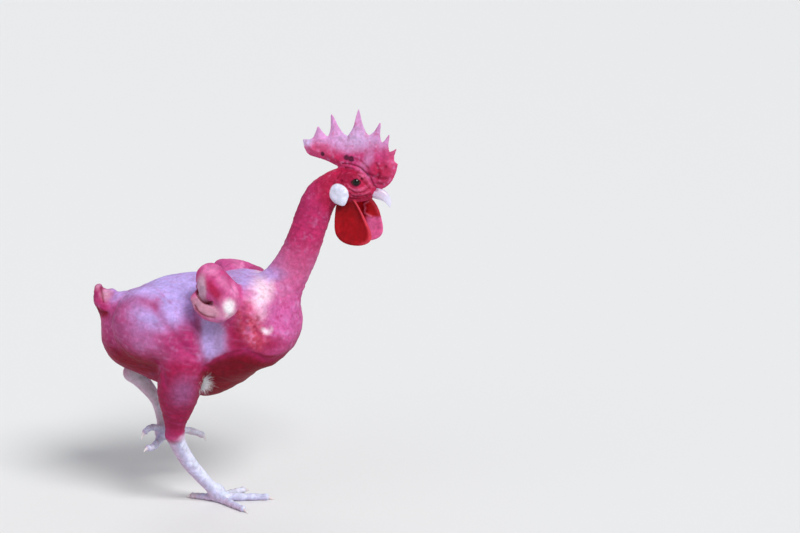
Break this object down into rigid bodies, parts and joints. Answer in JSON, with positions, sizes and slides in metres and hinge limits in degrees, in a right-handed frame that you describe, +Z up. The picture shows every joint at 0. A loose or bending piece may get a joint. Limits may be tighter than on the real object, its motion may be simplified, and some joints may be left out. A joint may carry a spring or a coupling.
{
  "type": "featherless rooster",
  "caption": "Life-size still model of a scaleless, featherless rooster, walking with one foot lifted: upright comb, hanging wattles, pale earlobes, folded bare wings, short tail nub.",
  "frame": {"origin": "on the floor, under the ball of the standing right foot", "axes": "+X the way the bird walks, -Y its right side, +Z up"},
  "size_m": [0.3866, 0.1782, 0.5125],
  "materials": {
    "skin": "bare pink skin, pale lilac on the upper side and dark crimson below",
    "neck": "finely wrinkled crimson-pink skin",
    "comb": "fleshy, pink-red at the base and paler towards the tips",
    "wattle": "fleshy, saturated red",
    "earlobe": "smooth, bluish white",
    "beak": "ivory horn",
    "shank": "smooth pale lilac-white skin without scales",
    "claw": "pale horn",
    "eye": "glossy, brown-orange iris round a dark pupil"
  },
  "bodies": {
    "root": {"torso": "skin", "tail": "skin", "neck": "neck", "head": "neck", "comb": "comb", "beak_upper": "beak", "beak_lower": "beak", "eye_right": "eye", "eye_left": "eye", "earlobe_right": "earlobe", "earlobe_left": "earlobe", "wattle_right": "wattle", "wattle_left": "wattle", "wing_right": "skin", "wing_left": "skin", "thigh_right": "skin", "thigh_left": "skin", "drumstick_right": "skin", "drumstick_left": "skin", "shank_right": "shank", "shank_left": "shank", "toe_right_back": "shank", "toe_right_inner": "shank", "toe_right_middle": "shank", "toe_right_outer": "shank", "toe_left_back": "shank", "toe_left_inner": "shank", "toe_left_middle": "shank", "toe_left_outer": "shank", "claw_right_back": "claw", "claw_right_inner": "claw", "claw_right_middle": "claw", "claw_right_outer": "claw", "claw_left_back": "claw", "claw_left_inner": "claw", "claw_left_middle": "claw", "claw_left_outer": "claw"}
  },
  "joints": []
}
